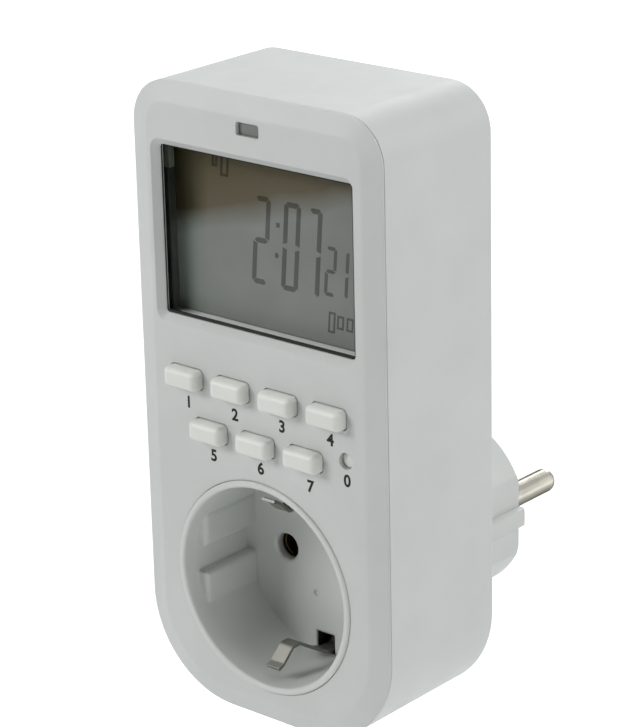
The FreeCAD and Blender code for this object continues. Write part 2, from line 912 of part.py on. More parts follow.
def make_display():
    panel = block(
        "DisplayPanel",
        window_span(dim.display_margin),
        (display_front, display_back),
        window_rise(dim.display_margin),
    )
    node(panel, "lcd_panel")

    pocket_margin = dim.display_margin + dim.lens_fit
    y = (lens_back + dim.stack_gap, logic_front - dim.stack_gap)
    outer_margin = pocket_margin + dim.frame_wall
    outer = block("FrameBlock", window_span(outer_margin), y, window_rise(outer_margin))
    sight = block("FrameSight", window_span(0), (y[0] - OVER, y[1] + OVER), window_rise(0))
    seat = block(
        "FrameSeat",
        window_span(pocket_margin),
        (display_front - dim.stack_gap, y[1] + OVER),
        window_rise(pocket_margin),
    )
    left = window_span(0)[0]
    top = window_rise(0)[1]
    tab = block(
        "FrameTab",
        (left - dim.tab_thickness, left + dim.tab_thickness),
        (y[0], y[0] + dim.tab_depth),
        (top - dim.tab_height, top),
    )
    node(fuse("Frame", cut("FrameRing", outer, sight, seat), tab), "lcd_frame")

    strips = []
    low, high = window_rise(dim.display_margin)
    for name, z in (("Low", (low, low + dim.strip_width)), ("High", (high - dim.strip_width, high))):
        strips.append(block(f"{name}Strip", window_span(0), (display_back, logic_front), z))
    node(group("Strips", strips), "lcd_contact_strips")


def make_indicator():
    fit = 0 - dim.indicator_fit
    light_front = dim.indicator_recess
    led_front = logic_front - dim.led_height
    face = block("LightPipe", indicator_span(fit), (light_front, flange_front), indicator_rise(fit))
    face = rounded("LightCorners", face, dim.indicator_corner, runs_along_y)
    flange = block(
        "LightFlange",
        indicator_span(dim.indicator_flange),
        (flange_front, flange_front + dim.indicator_flange),
        indicator_rise(dim.indicator_flange),
    )
    inset = dim.light_stalk_inset
    stalk = block(
        "LightStalk",
        indicator_span(0 - inset),
        (flange_front, led_front - dim.led_gap),
        indicator_rise(fit),
    )
    node(fuse("LightGuide", face, flange, stalk), "indicator_light_guide")
    led = block("Led", indicator_span(0 - inset), (led_front, logic_front), indicator_rise(fit))
    node(led, "indicator_led")


# Keys and their switches


def make_key(number, place):
    """A key cap drawn about its own centre: crown, flange behind the cover and stem."""
    name = f"Key{number}"
    half = dim.key_width / 2
    tall = dim.key_height / 2
    crown = block(name + "Crown", (0 - half, half), (0 - dim.key_rise, key_flange_back), (0 - tall, tall))
    crown = rounded(name + "Corners", crown, dim.key_corner, runs_along_y)
    crown = rounded(name + "Face", crown, dim.key_round, lies_at_depth(0 - dim.key_rise))
    wide = half + dim.key_flange
    high = tall + dim.key_flange
    flange = block(
        name + "Flange", (0 - wide, wide), (key_flange_front, key_flange_back), (0 - high, high)
    )
    wide = dim.key_stem_width / 2
    high = dim.key_stem_height / 2
    stem = block(name + "Stem", (0 - wide, wide), (key_flange_front, key_back), (0 - high, high))
    cap = fuse(name, crown, flange, stem)
    node(cap, f"key_{number}", x=place[0], z=place[1])


def make_reset_button():
    front = dim.reset_recess
    button = rod("ResetFace", dim.reset_radius, (front, key_flange_back), (0, 0))
    flange_radius = dim.reset_radius + dim.key_flange
    flange = rod("ResetFlange", flange_radius, (key_flange_front, key_flange_back), (0, 0))
    stem = rod("ResetStem", dim.plunger_radius, (key_flange_front, key_back), (0, 0))
    face = rounded("ResetEdge", button, dim.reset_fit, lies_at_depth(front))
    node(fuse("Reset", face, flange, stem), "reset_button", x=RESET_PLACE[0], z=RESET_PLACE[1])


def make_switches():
    names = [f"key_{i}_plunger" for i in range(1, len(KEY_PLACES) + 1)] + ["reset_plunger"]
    plunger_back = switch_front + dim.plunger_depth
    half = dim.switch_size / 2
    cases = []
    for i, (name, place) in enumerate(zip(names, [*KEY_PLACES, RESET_PLACE]), start=1):
        node(rod(f"Plunger{i}", dim.plunger_radius, (key_back, plunger_back), place), name)
        case = block(
            f"SwitchCase{i}",
            (place[0] - half, place[0] + half),
            (switch_front, logic_front),
            (place[1] - half, place[1] + half),
        )
        bore = rod(
            f"SwitchBore{i}",
            dim.plunger_radius + dim.plunger_fit,
            (switch_front - OVER, plunger_back + dim.plunger_room),
            place,
        )
        cases.append(cut(f"Switch{i}", case, bore))
    node(group("Switches", cases), "switch_cases")


# Socket


def make_socket_insert():
    outer_radius = dim.well_radius + dim.well_wall
    front = 0 - dim.ring_rise
    tube = rod("WellTube", outer_radius, (front, floor_back), (0, 0))
    hollow = rod("WellHollow", dim.well_radius, (front - OVER, dim.well_depth), (0, 0))
    cup = cut("WellCup", tube, hollow)
    rim = rounded("WellRim", cup, dim.ring_blend, lies_at_depth(front))
    flange_back = flange_front + dim.insert_flange_thickness
    flange = cut(
        "WellFlange",
        rod("WellFlangeDisc", outer_radius + dim.insert_flange, (flange_front, flange_back), (0, 0)),
        rod("WellFlangeHole", outer_radius - dim.well_wall / 2, (front, floor_back), (0, 0)),
    )
    cheeks = []
    y = (dim.cheek_start, dim.well_depth + dim.well_floor / 2)
    reach = dim.well_radius + dim.well_wall / 2
    inner, back = number_of(dim.cheek_face), number_of(y[1])

    def faces_axis(edge):
        box = edge.BoundBox
        at_face = abs(abs(box.Center.x) - inner) < NEAR and box.XLength < NEAR
        return at_face and box.YMin < back - NEAR

    for x in ((dim.cheek_face, reach), (0 - reach, 0 - dim.cheek_face)):
        for z in ((dim.cheek_low, dim.cheek_high), (0 - dim.cheek_high, 0 - dim.cheek_low)):
            name = f"Cheek{len(cheeks) + 1}"
            cheeks.append(rounded(name, block(name + "Block", x, y, z), dim.cheek_round, faces_axis))
    bound = rod("CheekBound", reach, (front, floor_back), (0, 0))
    inside = doc.addObject("Part::Common", "Cheeks")
    inside.Base = fuse("CheekBlocks", *cheeks)
    inside.Tool = bound
    holes = []
    for x in (0 - pin_x, pin_x):
        i = len(holes)
        span = (dim.well_depth - OVER, floor_back + OVER)
        holes.append(rod(f"PinHole{i}", dim.pin_hole_radius, span, (x, 0)))
        mouth = dim.pin_hole_radius + dim.pin_hole_bevel
        span = (dim.well_depth, dim.well_depth + dim.pin_hole_bevel)
        holes.append(taper(f"PinMouth{i}", (mouth, dim.pin_hole_radius), span, (x, 0)))
    half = dim.earth_slot_width / 2
    slot = (dim.earth_slot_low, dim.earth_slot_high)
    span = (dim.well_depth - OVER, floor_back + OVER)
    for z in (slot, (0 - slot[1], 0 - slot[0])):
        holes.append(block(f"EarthSlot{len(holes)}", (0 - half, half), span, z))
    mark = (dim.well_depth - OVER, dim.well_depth + dim.ejector_depth)
    holes.append(rod("EjectorMark", dim.ejector_radius, mark, (dim.ejector_x, dim.ejector_z)))
    insert = cut("SocketInsert", fuse("SocketBody", rim, flange, inside), *holes)
    node(insert, "socket_insert")


def make_contact(name, side):
    """A split sleeve for one pin and the tail that joins it to the power board."""
    x = side * pin_x
    outer = dim.contact_radius + dim.contact_wall
    y = (floor_back + dim.contact_gap, strap_back)
    shell = rod(name + "Shell", outer, y, (x, 0))
    tail_centre = dim.tail_x - dim.tail_width / 2
    tail = block(
        name + "Tail",
        (side * tail_centre - dim.tail_width / 2, side * tail_centre + dim.tail_width / 2),
        (strap_front, strap_back),
        (dim.contact_radius, power_bottom + dim.tail_overlap),
    )
    bore = rod(name + "Bore", dim.contact_radius, (y[0] - OVER, y[1] + OVER), (x, 0))
    half = dim.contact_slit / 2
    slit = block(
        name + "Slit",
        (x - half, x + half),
        (y[0] - OVER, strap_front - dim.contact_wall),
        (0 - outer - OVER, 0),
    )
    return cut(name, fuse(name + "Blank", shell, tail), bore, slit)


def make_contact_carrier():
    x = (0 - dim.carrier_half_width, dim.carrier_half_width)
    y = (floor_back + dim.carrier_gap, cavity_back - dim.carrier_space)
    z = (0 - dim.carrier_half_height, dim.carrier_half_height)
    plate = block("CarrierPlate", x, y, z)
    chambers = []
    half = dim.chamber_half
    for i, centre in enumerate((0 - pin_x, pin_x)):
        span = (centre - half, centre + half)
        chambers.append(block(f"Chamber{i}", span, (y[0] - OVER, y[1] + OVER), (0 - half, half)))
    legs = []
    for px in (0 - dim.carrier_leg_x, dim.carrier_leg_x):
        for pz in (0 - dim.carrier_leg_z, dim.carrier_leg_z):
            span = (y[0], cavity_back - dim.carrier_gap)
            legs.append(rod(f"CarrierLeg{len(legs)}", dim.carrier_leg_radius, span, (px, pz)))
    node(fuse("Carrier", cut("CarrierBlock", plate, *chambers), *legs), "contact_carrier")


# Plug


def make_plug_pin(name, side):
    """One pin: rounded end, shank in its column, head against the column and riveting stub."""
    x = side * pin_x
    tip = plug_face + dim.pin_length
    pin = rod(name + "Pin", dim.pin_radius, (plug_face, tip), (x, 0))
    pin = rounded(name + "Tip", pin, dim.pin_tip, lies_at_depth(tip))
    shank = rod(name + "Shank", dim.shank_radius, (column_front, plug_face), (x, 0))
    head_front = column_front - dim.pin_head
    head = rod(name + "Head", dim.pin_head_radius, (head_front, column_front), (x, 0))
    stub = rod(name + "Stub", dim.pin_stub_radius, (head_front - dim.pin_stub, head_front), (x, 0))
    return fuse(name, pin, shank, head, stub)


def make_pin_strap(name, side):
    """The bent strip from one plug pin to the power board."""
    head_front = column_front - dim.pin_head
    back = (head_front - dim.strip_gap - dim.strip_thickness, head_front - dim.strip_gap)
    edge = dim.strap_x

    def across(inner, outer):
        return (side * inner, side * outer) if side > 0 else (side * outer, side * inner)

    half = dim.strap_half
    eye = block(name + "Eye", across(pin_x - half, edge), back, (0 - half, half))
    hole = rod(
        name + "Hole",
        dim.pin_stub_radius + dim.strip_gap,
        (back[0] - OVER, back[1] + OVER),
        (side * pin_x, 0),
    )
    run = block(
        name + "Run",
        across(edge - dim.strip_thickness, edge),
        (strap_front, back[1]),
        (0 - half, half),
    )
    rise = block(
        name + "Rise",
        across(edge - dim.strip_thickness, edge - dim.strip_thickness + dim.strap_width),
        (strap_front, strap_back),
        (0 - half, power_bottom + dim.tail_overlap),
    )
    return fuse(name, cut(name + "Plate", eye, hole), run, rise)


def bent_strip_face(points, bends, thickness):
    """The YZ outline of a strip that follows points, with one bend radius for each inner point."""
    left, right = [], []
    count = len(points)
    for i, point in enumerate(points):
        if i in (0, count - 1):
            ahead = points[1] - points[0] if i == 0 else points[-1] - points[-2]
            normal = turn_left(ahead)
            left.append((point + normal * (thickness / 2),))
            right.append((point - normal * (thickness / 2),))
            continue
        before = (point - points[i - 1]).normalize()
        after = (points[i + 1] - point).normalize()
        angle = before.getAngle(after)
        reach = bends[i - 1] * math.tan(angle / 2)
        start, end = point - before * reach, point + after * reach
        inward = (after - before).normalize()
        centre = point + inward * (bends[i - 1] / math.cos(angle / 2))
        turning_left = turn_left(before).dot(inward) > 0
        for side, track in ((1, left), (-1, right)):
            inner = (side > 0) == turning_left
            radius = bends[i - 1] - thickness / 2 if inner else bends[i - 1] + thickness / 2
            marks = [centre + (p - centre).normalize() * radius for p in (start, point, end)]
            track.append(tuple(marks))
    edges = track_edges(left) + track_edges(right)
    edges.append(Part.makeLine(left[0][0], right[0][0]))
    edges.append(Part.makeLine(left[-1][-1], right[-1][-1]))
    return Part.Face(Part.Wire(Part.__sortEdges__(edges)))


def turn_left(direction):
    """The unit vector square to direction in the YZ plane."""
    flat = Vector(direction).normalize()
    return Vector(0, -flat.z, flat.y)


def track_edges(track):
    edges = []
    last = track[0][0]
    for marks in track[1:]:
        edges.append(Part.makeLine(last, marks[0]))
        if len(marks) == 3:
            edges.append(Part.Arc(*marks).toShape())
        last = marks[-1]
    return edges


def make_earth_strip(name, label, side):
    """One strip: contact on the plug's boss, lane behind the socket and sprung clip inside it."""
    lane = dim.earth_lane_height
    foot = dim.earth_foot_height
    start = (plug_face - dim.earth_end_gap, lane)
    turns = [
        (floor_back + dim.earth_step_far, lane, dim.bend_radius),
        (floor_back + dim.earth_step_near, foot, dim.bend_radius),
        (dim.well_depth, foot, dim.bend_radius),
        (dim.clip_shoulder_y, dim.clip_shoulder_z, dim.bend_radius),
        (dim.clip_knee_y, dim.clip_knee_z, dim.knee_radius),
        (dim.clip_apex_back, dim.clip_apex_z, dim.apex_radius),
        (dim.clip_apex_front, dim.clip_apex_z, dim.apex_radius),
        (dim.clip_lip_y, dim.clip_lip_z, dim.bend_radius),
    ]
    end = (dim.clip_tip_y, dim.clip_tip_z)
    places_along = [start, *((y, z) for y, z, bend in turns), end]
    points = [Vector(0, number_of(y), side * number_of(z)) for y, z in places_along]
    bends = [number_of(bend) for y, z, bend in turns]
    face = bent_strip_face(points, bends, number_of(dim.strip_thickness))
    width = number_of(dim.earth_width)
    face.translate(Vector(-width / 2, 0, 0))
    strip = doc.addObject("Part::Feature", name)
    strip.Shape = face.extrude(Vector(width, 0, 0))
    node(strip, label)


def make_earth_link():
    half = dim.link_width / 2
    reach = dim.earth_lane_height - dim.strip_thickness / 2 - dim.strip_gap
    y = (cavity_back - dim.strip_thickness - dim.carrier_gap, cavity_back - dim.carrier_gap)
    node(block("EarthLink", (0 - half, half), y, (0 - reach, reach)), "earth_link")


# Boards and fasteners


def screw(name, radius, head_radius, span, head, place, slot=None):
    """A screw along Y whose head is at the end of span that head names: 1 towards +Y, -1 towards -Y."""
    low, high = span
    shaft = rod(name + "Shaft", radius, (low, high), place)
    ends = (high, high + head[1]) if head[0] > 0 else (low - head[1], low)
    top = rod(name + "Head", head_radius, ends, place)
    body = fuse(name, shaft, top)
    if slot is None:
        return body
    x, z = place
    deep = (ends[1] - slot, ends[1] + OVER) if head[0] > 0 else (ends[0] - OVER, ends[0] + slot)
    wide = head_radius - dim.screw_slot
    thin = slot / 2
    bars = [
        block(name + "SlotX", (x - wide, x + wide), deep, (z - thin, z + thin)),
        block(name + "SlotZ", (x - thin, x + thin), deep, (z - wide, z + wide)),
    ]
    return cut(name + "Driven", body, *bars)


def make_housing_screws():
    screws = []
    for i, place in enumerate(HOUSING_SCREWS):
        span = (screw_seat - dim.screw_length, screw_seat)
        head = (1, dim.screw_head)
        name = f"HousingScrew{i}"
        screws.append(
            screw(name, dim.screw_radius, dim.screw_head_radius, span, head, place, dim.screw_slot)
        )
    node(group("HousingScrews", screws), "housing_screws")


def make_board(name, label, x, y, z, holes, extra=None):
    plate = block(name + "Plate", x, y, z)
    if extra is not None:
        plate = fuse(name + "Outline", plate, extra)
    radius = dim.board_screw_radius + dim.board_screw_clear
    drills = [
        rod(f"{name}Hole{i}", radius, (y[0] - OVER, y[1] + OVER), place) for i, place in enumerate(holes)
    ]
    node(cut(name, plate, *drills), label)


def make_boards():
    half = half_width - dim.wall - dim.board_clear
    half_logic = half_width - lip_inset - dim.board_clear
    tab = block(
        "LogicTab",
        (0 - dim.logic_tab_half, dim.logic_tab_half),
        (logic_front, logic_back),
        (logic_top - OVER, logic_tab_top),
    )
    make_board(
        "LogicBoard",
        "logic_board",
        (0 - half_logic, half_logic),
        (logic_front, logic_back),
        (logic_bottom, logic_top),
        LOGIC_SCREWS,
        tab,
    )
    make_board(
        "PowerBoard",
        "power_board",
        (0 - half, half),
        (power_front, power_back),
        (power_bottom, power_top),
        POWER_SCREWS,
    )
    screws = []
    for i, place in enumerate(LOGIC_SCREWS):
        span = (logic_front - dim.board_screw_depth, logic_back)
        head = (1, dim.board_head)
        name = f"LogicScrew{i}"
        screws.append(screw(name, dim.board_screw_radius, dim.board_head_radius, span, head, place))
    node(group("LogicScrews", screws), "logic_board_screws")
    screws = []
    for i, place in enumerate(POWER_SCREWS):
        span = (power_front, power_screw_end)
        head = (-1, dim.board_head)
        name = f"PowerScrew{i}"
        screws.append(screw(name, dim.board_screw_radius, dim.board_head_radius, span, head, place))
    node(group("PowerScrews", screws), "power_board_screws")


# Relay: it stands on the power board and points to the front


def make_relay():
    x0, z0 = relay_x, relay_z
    wide = dim.relay_width / 2
    long = dim.relay_length / 2
    top = logic_back + dim.relay_clear
    base_front = power_front - dim.relay_base
    base = block("RelayBase", (x0 - wide, x0 + wide), (base_front, power_front), (z0 - long, z0 + long))
    node(base, "relay_base")

    outer = block("RelayOuter", (x0 - wide, x0 + wide), (top, base_front), (z0 - long, z0 + long))
    wide_in = wide - dim.relay_shell
    long_in = long - dim.relay_shell
    inner = block(
        "RelayInner",
        (x0 - wide_in, x0 + wide_in),
        (top + dim.relay_shell, base_front + OVER),
        (z0 - long_in, z0 + long_in),
    )
    node(cut("RelayCover", outer, inner), "relay_cover")

    armature_front = top + dim.relay_shell + dim.relay_room
    armature_back = armature_front + dim.armature_thickness
    core_front = armature_back + dim.armature_gap
    yoke_front = armature_back + dim.hinge_gap
    coil_front = core_front + dim.core_rise
    coil_z = z0 - dim.coil_shift
    at = (x0, coil_z)
    coil = fuse(
        "RelayCoil",
        rod("CoilWinding", dim.coil_radius, (coil_front, base_front), at),
        rod("CoilFrontRim", dim.coil_radius + dim.coil_rim, (coil_front, coil_front + dim.coil_rim), at),
        rod("CoilRearRim", dim.coil_radius + dim.coil_rim, (base_front - dim.coil_rim, base_front), at),
        rod("CoilCore", dim.core_radius, (core_front, base_front), at),
    )
    node(coil, "relay_coil")

    half = dim.yoke_width / 2
    yoke_low = coil_z + dim.coil_radius + dim.coil_rim + dim.yoke_gap
    yoke_high = yoke_low + dim.yoke_thickness
    yoke = block("RelayYoke", (x0 - half, x0 + half), (yoke_front, base_front), (yoke_low, yoke_high))
    node(yoke, "relay_yoke")

    end = coil_z - dim.core_radius - dim.coil_rim
    armature = block(
        "RelayArmature", (x0 - half, x0 + half), (armature_front, armature_back), (end, yoke_high)
    )
    node(armature, "relay_armature")


# Parts on the power board


def make_power_parts():
    seat = power_front - dim.part_gap

    film = block(
        "FilmCapacitor",
        (film_x - dim.film_width / 2, film_x + dim.film_width / 2),
        (seat - dim.film_height, seat),
        (film_z - dim.film_thickness / 2, film_z + dim.film_thickness / 2),
    )
    node(film, "dropper_capacitor")

    at = (bulk_x, bulk_z)
    can = rod("BulkCan", dim.bulk_radius, (seat - dim.bulk_height, seat), at)
    node(can, "smoothing_capacitor")

    disc = rod(
        "VaristorDisc",
        dim.varistor_radius,
        (varistor_z - dim.varistor_thickness / 2, varistor_z + dim.varistor_thickness / 2),
        (varistor_x, seat - dim.varistor_radius),
        axis="z",
    )
    node(disc, "varistor")

    lying = seat - dim.fuse_radius
    tube = rod(
        "FuseTube",
        dim.fuse_radius,
        (fuse_x - dim.fuse_length / 2, fuse_x + dim.fuse_length / 2),
        (lying, fuse_z),
        axis="x",
    )
    node(tube, "fuse")

    row_of_rods("Diode", "rectifier_diodes", 4, (diode_x, diode_z), dim.diode_pitch,
                dim.diode_radius, dim.diode_length, seat)
    row_of_rods("Resistor", "resistors", 3, (resistor_x, resistor_z), dim.resistor_pitch,
                dim.resistor_radius, dim.resistor_length, seat)

    at = (driver_x, driver_z)
    round_body = rod("DriverRound", dim.driver_radius, (seat - dim.driver_height, seat), at)
    flat = block(
        "DriverFlat",
        (driver_x - dim.driver_radius - OVER, driver_x + dim.driver_radius + OVER),
        (seat - dim.driver_height - OVER, seat + OVER),
        (driver_z + dim.driver_radius / 2, driver_z + dim.driver_radius + OVER),
    )
    node(cut("Driver", round_body, flat), "driver_transistor")


def row_of_rods(name, label, count, first, pitch, radius, length, seat):
    """Axial parts that lie side by side on the board, along X, stepping down in Z."""
    rods = []
    for i in range(count):
        x = (first[0] - length / 2, first[0] + length / 2)
        rods.append(rod(f"{name}{i}", radius, x, (seat - radius, first[1] - pitch * i), axis="x"))
    node(group(name + "s", rods), label)


# Parts on the back of the logic board


def make_logic_parts():
    seat = logic_back + dim.part_gap
    at = (blob_x, blob_z)
    blob = taper("Blob", (dim.blob_radius, dim.blob_radius / 2), (seat, seat + dim.blob_height), at)
    node(blob, "controller_blob")

    crystal = rod(
        "Crystal",
        dim.crystal_radius,
        (crystal_z - dim.crystal_length / 2, crystal_z + dim.crystal_length / 2),
        (crystal_x, seat + dim.crystal_radius),
        axis="z",
    )
    node(crystal, "watch_crystal")

    at = (cell_x, cell_z)
    tab_back = seat + dim.strip_thickness
    cell_front = tab_back + dim.strip_gap
    cell_back = cell_front + dim.cell_height
    cell = rod("Cell", dim.cell_radius, (cell_front, cell_back), at)
    node(cell, "backup_cell")
    reach = dim.cell_radius + dim.cell_tab_reach
    half = dim.cell_tab_width / 2
    lower = block(
        "LowerTab",
        (at[0] - reach, at[0]),
        (seat, tab_back),
        (at[1] - half, at[1] + half),
    )
    back = cell_back + dim.strip_gap
    z = (at[1] - half, at[1] + half)
    y = (back, back + dim.strip_thickness)
    leg_x = (at[0] + reach - dim.strip_thickness, at[0] + reach)
    top = block("UpperTabTop", (at[0], at[0] + reach), y, z)
    leg = block("UpperTabLeg", leg_x, (seat, back + dim.strip_thickness), z)
    upper = fuse("UpperTab", top, leg)
    node(group("CellTabs", [lower, upper]), "cell_tabs")

    half = dim.header_width / 2
    thin = dim.header_thickness / 2
    header = block(
        "Header",
        (header_x - half, header_x + half),
        (logic_back + dim.part_gap, power_front - dim.part_gap),
        (header_z - thin, header_z + thin),
    )
    node(header, "board_header")


def check_and_write():
    """Stops unless every object is sound, then writes one file for each piece."""
    doc.recompute()
    for obj in doc.Objects:
        if "Invalid" in obj.State or "Error" in obj.State:
            raise RuntimeError(f"{obj.Name} failed: {obj.State}")
    for piece in nodes:
        if piece.Shape.isNull() or not piece.Shape.isValid():
            raise RuntimeError(f"{piece.Label} has no valid shape")
        if not piece.Shape.Solids:
            raise RuntimeError(f"{piece.Label} has no solid")
    os.makedirs("parts", exist_ok=True)
    for piece in nodes:
        piece.Shape.exportStep(os.path.join("parts", piece.Label + ".step"))
        box = piece.Shape.BoundBox
        print(f"{piece.Label}: {box.XLength:.2f} x {box.YLength:.2f} x {box.ZLength:.2f} mm,"
              f" {len(piece.Shape.Solids)} solid(s), {piece.Shape.Volume:.1f} mm3")
    print(len(nodes), "pieces")


make_front_cover()
make_rear_housing()
make_plug_boss()
make_lens()
make_display()
make_indicator()
for key_number, key_place in enumerate(KEY_PLACES, start=1):
    make_key(key_number, key_place)
make_reset_button()
make_switches()
make_socket_insert()
node(make_contact("NeutralContact", -1), "socket_contact_neutral")
node(make_contact("LiveContact", 1), "socket_contact_live")
make_contact_carrier()
node(make_plug_pin("NeutralPin", -1), "plug_pin_neutral")
node(make_plug_pin("LivePin", 1), "plug_pin_live")
node(make_pin_strap("NeutralStrap", -1), "neutral_strap")
node(make_pin_strap("LiveStrap", 1), "live_strap")
make_earth_strip("UpperEarth", "earth_strip_upper", 1)
make_earth_strip("LowerEarth", "earth_strip_lower", -1)
make_earth_link()
make_housing_screws()
make_boards()
make_relay()
make_power_parts()
make_logic_parts()
check_and_write()
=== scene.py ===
"""Looks of a plug-in electronic timer: materials, display digits, numerals, light and camera.

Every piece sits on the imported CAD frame. Lengths of pieces are in millimetres in the row's
frame and turned into metres where a mesh is made. Places inside a material and everything
on stage are in metres. The front face of the timer looks along -Y.
"""

import math

import bmesh
import bpy
from mathutils import Matrix, Vector


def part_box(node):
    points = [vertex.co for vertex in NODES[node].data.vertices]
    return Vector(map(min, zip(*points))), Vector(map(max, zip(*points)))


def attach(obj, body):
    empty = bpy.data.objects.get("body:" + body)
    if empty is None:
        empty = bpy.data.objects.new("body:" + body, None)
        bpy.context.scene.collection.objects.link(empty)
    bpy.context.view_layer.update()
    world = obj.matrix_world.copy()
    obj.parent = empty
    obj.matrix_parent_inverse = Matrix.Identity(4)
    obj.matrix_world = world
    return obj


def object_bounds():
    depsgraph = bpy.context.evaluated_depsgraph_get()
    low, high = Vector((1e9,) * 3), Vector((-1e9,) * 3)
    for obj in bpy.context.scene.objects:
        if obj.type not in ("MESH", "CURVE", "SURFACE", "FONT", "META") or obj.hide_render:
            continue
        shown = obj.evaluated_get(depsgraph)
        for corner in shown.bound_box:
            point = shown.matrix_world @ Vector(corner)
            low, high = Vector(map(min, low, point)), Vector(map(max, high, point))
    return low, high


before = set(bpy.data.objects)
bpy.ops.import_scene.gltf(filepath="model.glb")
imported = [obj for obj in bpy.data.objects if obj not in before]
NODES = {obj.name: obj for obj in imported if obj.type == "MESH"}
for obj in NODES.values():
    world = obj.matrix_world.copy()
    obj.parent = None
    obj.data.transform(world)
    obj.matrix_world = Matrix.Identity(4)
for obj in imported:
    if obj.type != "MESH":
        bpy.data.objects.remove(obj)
cad_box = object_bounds()

MM = 0.001


def span(node):
    """Lowest and highest corner of a CAD node, in millimetres."""
    low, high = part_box(node)
    return [c / MM for c in low], [c / MM for c in high]


FRONT = span("front_cover")[0][1]           # the flat front face
DISPLAY = span("lcd_panel")[0][1]           # the front of the liquid crystal glass


# ---------------------------------------------------------------- materials

class Shader:
    """The node tree of a material, or of a world, and the few calls that fill it."""

    def __init__(self, name, world=None):
        self.owner = world or bpy.data.materials.new(name)
        self.owner.use_nodes = True
        self.tree = self.owner.node_tree
        self.tree.nodes.clear()
        self.output = self.add("OutputWorld" if world else "OutputMaterial")

    def add(self, kind, settings=None, inputs=None):
        """A new node with attributes set and its inputs linked or given a value."""
        made = self.tree.nodes.new("ShaderNode" + kind)
        for key, value in (settings or {}).items():
            setattr(made, key, value)
        for key, value in (inputs or {}).items():
            if isinstance(value, bpy.types.NodeSocket):
                self.tree.links.new(value, made.inputs[key])
            else:
                made.inputs[key].default_value = value
        return made

    def place(self, stretch=(1, 1, 1)):
        """Coordinates in metres, stretched along the axes."""
        where = self.add("TexCoord").outputs["Object"]
        if tuple(stretch) == (1, 1, 1):
            return where
        return self.add("Mapping", inputs={"Vector": where, "Scale": stretch}).outputs["Vector"]

    def axes(self):
        """The three coordinates in metres, each as a value."""
        parts = self.add("SeparateXYZ", inputs={"Vector": self.place()})
        return parts.outputs["X"], parts.outputs["Y"], parts.outputs["Z"]

    def noise(self, feature, detail=2.0, stretch=(1, 1, 1)):
        """Noise from 0 to 1 with features of that many millimetres."""
        made = self.add("TexNoise", inputs={
            "Vector": self.place(stretch), "Scale": 1 / (feature * MM), "Detail": detail})
        return made.outputs["Fac"]

    def spread(self, value, low, high, start=0.3, end=0.7):
        """Maps a value between start and end onto low to high."""
        made = self.add("MapRange", inputs={
            "Value": value, "From Min": start, "From Max": end, "To Min": low, "To Max": high})
        return made.outputs["Result"]

    def blend(self, factor, first, second):
        """The first colour at a factor of 0, the second at 1, and between them a mix."""
        made = self.add("Mix", {"data_type": "RGBA"})
        for socket, value in ((made.inputs[0], factor), (made.inputs[6], first),
                              (made.inputs[7], second)):
            if isinstance(value, bpy.types.NodeSocket):
                self.tree.links.new(value, socket)
            elif socket.type == "RGBA":
                socket.default_value = (*value, 1)
            else:
                socket.default_value = value
        return made.outputs[2]

    def maths(self, operation, first, second=0.0, clamp=False):
        """One calculation on two values, held between 0 and 1 if clamped."""
        made = self.add("Math", {"operation": operation, "use_clamp": clamp},
                        {0: first, 1: second})
        return made.outputs[0]

    def soft_edges(self, radius):
        """A normal that rounds sharp edges by that many millimetres."""
        made = self.add("Bevel", {"samples": 6}, {"Radius": radius * MM})
        return made.outputs["Normal"]

    def bump(self, height, depth, normal=None, strength=1.0):
        """A normal from a height of that many millimetres."""
        inputs = {"Height": height, "Distance": depth * MM, "Strength": strength}
        if normal is not None:
            inputs["Normal"] = normal
        return self.add("Bump", inputs=inputs).outputs["Normal"]

    def surface(self, **inputs):
        """The principled shader; names use underscores for spaces."""
        named = {k.replace("_", " "): v for k, v in inputs.items()}
        return self.add("BsdfPrincipled", inputs=named)

    def tones(self, colour, variation, clouds):
        """Faintly cloudy colour that varies by that share either way."""
        return self.blend(self.spread(clouds, 0.0, 1.0), tinted(colour, 1 - variation),
                          tinted(colour, 1 + variation))

    def finish(self, shader):
        """Links the shader to the output and gives the material or world."""
        self.tree.links.new(shader.outputs[0], self.output.inputs["Surface"])
        return self.owner


def tinted(colour, factor):
    """The colour made lighter or darker by a factor."""
    return tuple(min(c * factor, 1.0) for c in colour)


def moulded(name, colour, roughness=0.45, grain=0.35, depth=0.012, variation=0.03, edge=0.18):
    """Injection moulded plastic: fine spark-eroded grain, faint flow clouds and soft edges."""
    s = Shader(name)
    flow = s.noise(5.0, 2.0, (1.0, 1.0, 0.3))
    tone = s.tones(colour, variation, s.noise(17.0, 3.0))
    fine = s.noise(grain, 3.0)
    normal = s.bump(fine, depth, s.soft_edges(edge), 0.5)
    rough = s.spread(flow, roughness - 0.05, roughness + 0.06)
    return s.finish(s.surface(Base_Color=tone, Roughness=rough, Normal=normal, IOR=1.5))


def glossy_moulded(name, colour, roughness=0.25, variation=0.05, feature=4.0):
    """A smoother plastic or coating with slight waviness in its gloss."""
    s = Shader(name)
    tone = s.tones(colour, variation, s.noise(feature, 2.0))
    normal = s.bump(s.noise(feature / 3, 2.0), 0.02, s.soft_edges(0.1), 0.4)
    rough = s.spread(s.noise(feature / 2), roughness - 0.06, roughness + 0.08)
    return s.finish(s.surface(Base_Color=tone, Roughness=rough, Normal=normal, IOR=1.5))


